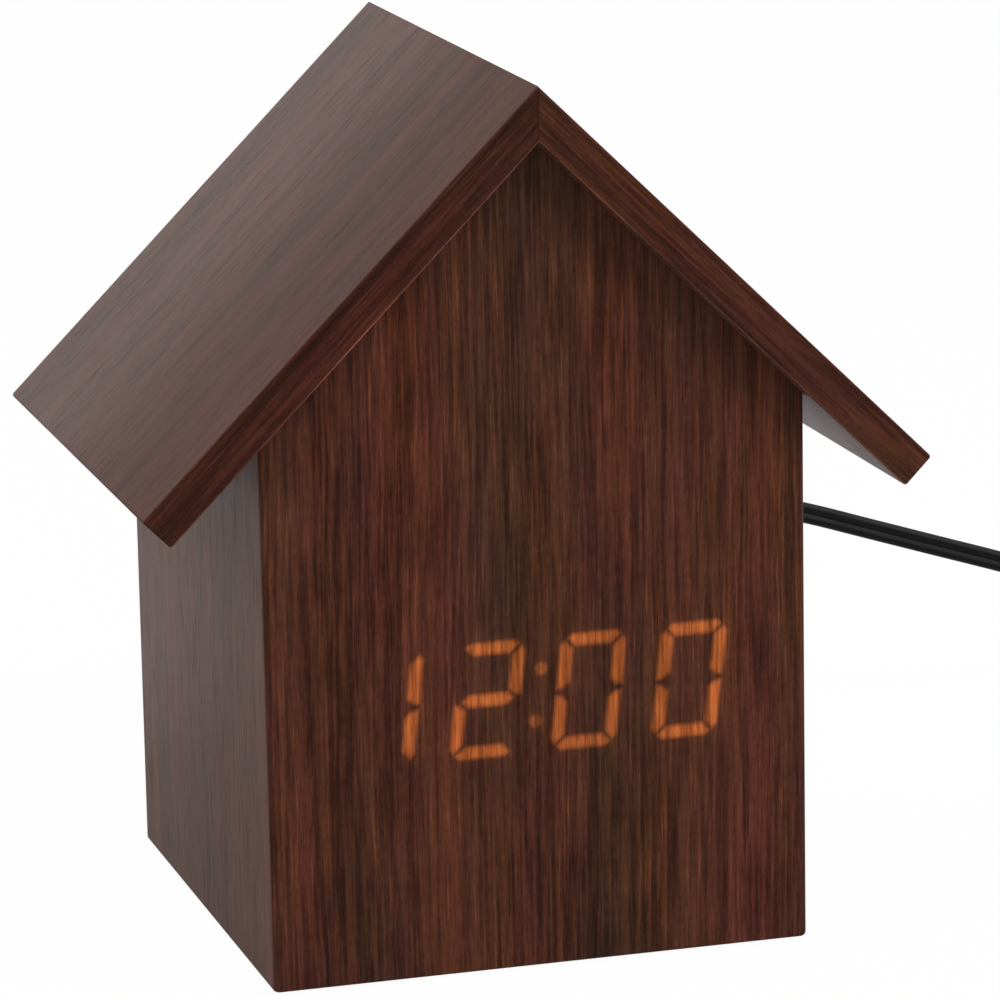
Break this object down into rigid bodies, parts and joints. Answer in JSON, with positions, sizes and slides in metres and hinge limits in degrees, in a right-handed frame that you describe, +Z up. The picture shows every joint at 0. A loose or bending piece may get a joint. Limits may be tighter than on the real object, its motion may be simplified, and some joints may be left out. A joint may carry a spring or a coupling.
{
  "type": "digital alarm clock",
  "caption": "House-shaped wooden digital alarm clock with a pitched overhanging roof, a lit display behind veneer, rear buttons and a flat lead to a plug-in adapter.",
  "frame": {"origin": "under the middle of the house, on the surface it stands on", "axes": "+X to the right seen from the front, +Y to the back, +Z up"},
  "size_m": [0.2658, 0.1842, 0.1527],
  "materials": {
    "walnut_veneer": "dark walnut veneer, straight grain, satin lacquer",
    "fibreboard": "raw fibreboard",
    "pine": "planed pine",
    "foot_rubber": "matt black rubber",
    "white_plastic": "white reflector plastic",
    "amber_resin": "lit amber diffuser resin",
    "circuit_board": "green solder mask",
    "black_plastic": "finely spark-eroded black plastic",
    "button_plastic": "smooth black plastic",
    "zinc_steel": "zinc-plated steel",
    "nickel_brass": "nickel-plated brass",
    "cord_vinyl": "black flexible vinyl"
  },
  "bodies": {
    "house": {"front_veneer": "walnut_veneer", "front_board": "fibreboard", "left_wall": "walnut_veneer", "right_wall": "walnut_veneer", "base_board": "fibreboard", "back_panel": "walnut_veneer", "roof_left": "walnut_veneer", "roof_right": "walnut_veneer", "ridge_block": "pine", "rear_batten_left": "pine", "rear_batten_right": "pine", "foot_front_left": "foot_rubber", "foot_front_right": "foot_rubber", "foot_rear_left": "foot_rubber", "foot_rear_right": "foot_rubber", "back_screw_1": "zinc_steel", "back_screw_2": "zinc_steel", "back_screw_3": "zinc_steel", "back_screw_4": "zinc_steel", "display_housing": "white_plastic", "digit_diffuser_1": "amber_resin", "digit_diffuser_2": "amber_resin", "digit_diffuser_3": "amber_resin", "digit_diffuser_4": "amber_resin", "colon_diffuser": "amber_resin", "main_board": "circuit_board", "main_board_screw_1": "zinc_steel", "main_board_screw_2": "zinc_steel", "driver_chip": "black_plastic", "clock_crystal": "zinc_steel", "storage_capacitor": "black_plastic", "ribbon_cable": "white_plastic", "control_plate": "black_plastic", "control_plate_screw_1": "zinc_steel", "control_plate_screw_2": "zinc_steel", "control_board": "circuit_board", "control_board_screw_1": "zinc_steel", "control_board_screw_2": "zinc_steel", "buzzer": "black_plastic", "switch_set": "black_plastic", "switch_up": "black_plastic", "switch_down": "black_plastic", "slide_switch_body": "zinc_steel", "battery_holder": "black_plastic", "coin_cell": "zinc_steel", "strain_relief": "cord_vinyl", "inner_lead": "cord_vinyl", "cord_lead": "cord_vinyl", "cord_coil": "cord_vinyl", "cord_tail": "cord_vinyl", "cord_tie": "black_plastic", "adapter_strain_relief": "cord_vinyl", "adapter_case": "black_plastic", "adapter_pin_1": "nickel_brass", "adapter_pin_2": "nickel_brass"},
    "set_button": {"button_set": "button_plastic"},
    "up_button": {"button_up": "button_plastic"},
    "down_button": {"button_down": "button_plastic"},
    "alarm_slide": {"alarm_slide_knob": "button_plastic"},
    "cell_cap": {"battery_cap": "button_plastic"}
  },
  "joints": [
    {"name": "set_button_press", "type": "slide", "parent": "house", "child": "set_button", "axis": [0, -1, 0], "range_m": [0, 0.0006], "stiffness_N_per_m": 1500, "springref_m": -0.0003},
    {"name": "up_button_press", "type": "slide", "parent": "house", "child": "up_button", "axis": [0, -1, 0], "range_m": [0, 0.0006], "stiffness_N_per_m": 1500, "springref_m": -0.0003},
    {"name": "down_button_press", "type": "slide", "parent": "house", "child": "down_button", "axis": [0, -1, 0], "range_m": [0, 0.0006], "stiffness_N_per_m": 1500, "springref_m": -0.0003},
    {"name": "alarm_slide_move", "type": "slide", "parent": "house", "child": "alarm_slide", "axis": [1, 0, 0], "range_m": [0, 0.0025]},
    {"name": "battery_cap_turn", "type": "hinge", "parent": "house", "child": "cell_cap", "pos_m": [-0.0018, 0.048, 0.0574], "axis": [0, 1, 0], "range_deg": [0, 45]}
  ]
}
